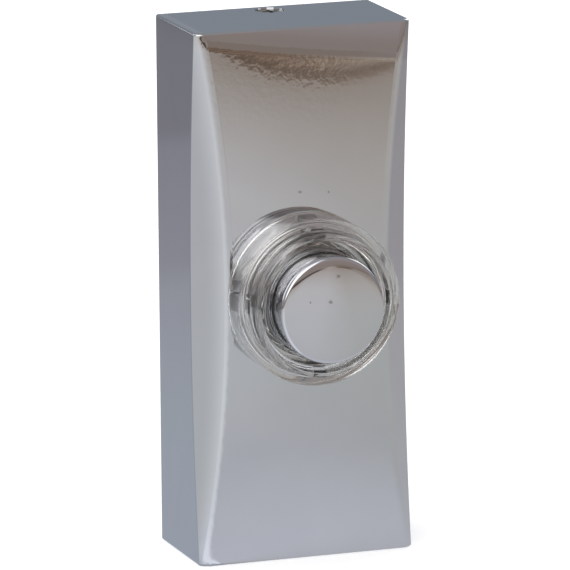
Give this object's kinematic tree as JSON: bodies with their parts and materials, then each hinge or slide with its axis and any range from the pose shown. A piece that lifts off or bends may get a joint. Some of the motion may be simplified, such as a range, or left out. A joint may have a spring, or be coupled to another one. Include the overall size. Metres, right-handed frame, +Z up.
{
  "type": "doorbell push button",
  "caption": "Surface-mounted wired bell push: chrome-plated cover with hollow-ground sides, clear stepped light collar and a round sprung button that closes a pair of contacts.",
  "frame": {"origin": "Centre of the back face, on the wall plane.", "axes": "+X to the right as seen from the front, +Y into the wall, +Z up; the front faces -Y."},
  "size_m": [0.0336, 0.0304, 0.08],
  "materials": {
    "cover_chrome": "bright chrome plate on die-cast zinc, slightly wavy",
    "clear_plastic": "clear polycarbonate, moulded smooth",
    "cap_chrome": "bright chrome plate on brass",
    "plunger_plastic": "white acetal",
    "spring_steel": "drawn spring wire",
    "base_plastic": "off-white moulded plastic, fine spark texture",
    "contact_brass": "plain rolled brass",
    "leaf_bronze": "rolled phosphor bronze",
    "zinc_steel": "zinc-plated steel",
    "lamp_resin": "milky resin",
    "wire_sleeve": "black insulation",
    "resistor_lacquer": "beige lacquer",
    "screw_steel": "bright nickel-plated steel"
  },
  "bodies": {
    "housing": {"cover": "cover_chrome", "light_collar": "clear_plastic", "return_spring": "spring_steel", "base_plate": "base_plastic", "fixed_contact": "contact_brass", "moving_contact": "leaf_bronze", "left_terminal_nut": "contact_brass", "right_terminal_nut": "contact_brass", "left_clamp_washer": "zinc_steel", "right_clamp_washer": "zinc_steel", "left_terminal_screw": "zinc_steel", "right_terminal_screw": "zinc_steel", "lamp": "lamp_resin", "lamp_lead": "wire_sleeve", "lamp_resistor": "resistor_lacquer", "cover_screw": "screw_steel", "cover_screw_nut": "contact_brass"},
    "button": {"button_cap": "cap_chrome", "button_plunger": "plunger_plastic"}
  },
  "joints": [
    {"name": "button_press", "type": "slide", "parent": "housing", "child": "button", "axis": [0, 1, 0], "range_m": [0, 0.0016], "stiffness_N_per_m": 600, "springref_m": -0.0016, "deforming": ["return_spring", "moving_contact"]}
  ]
}
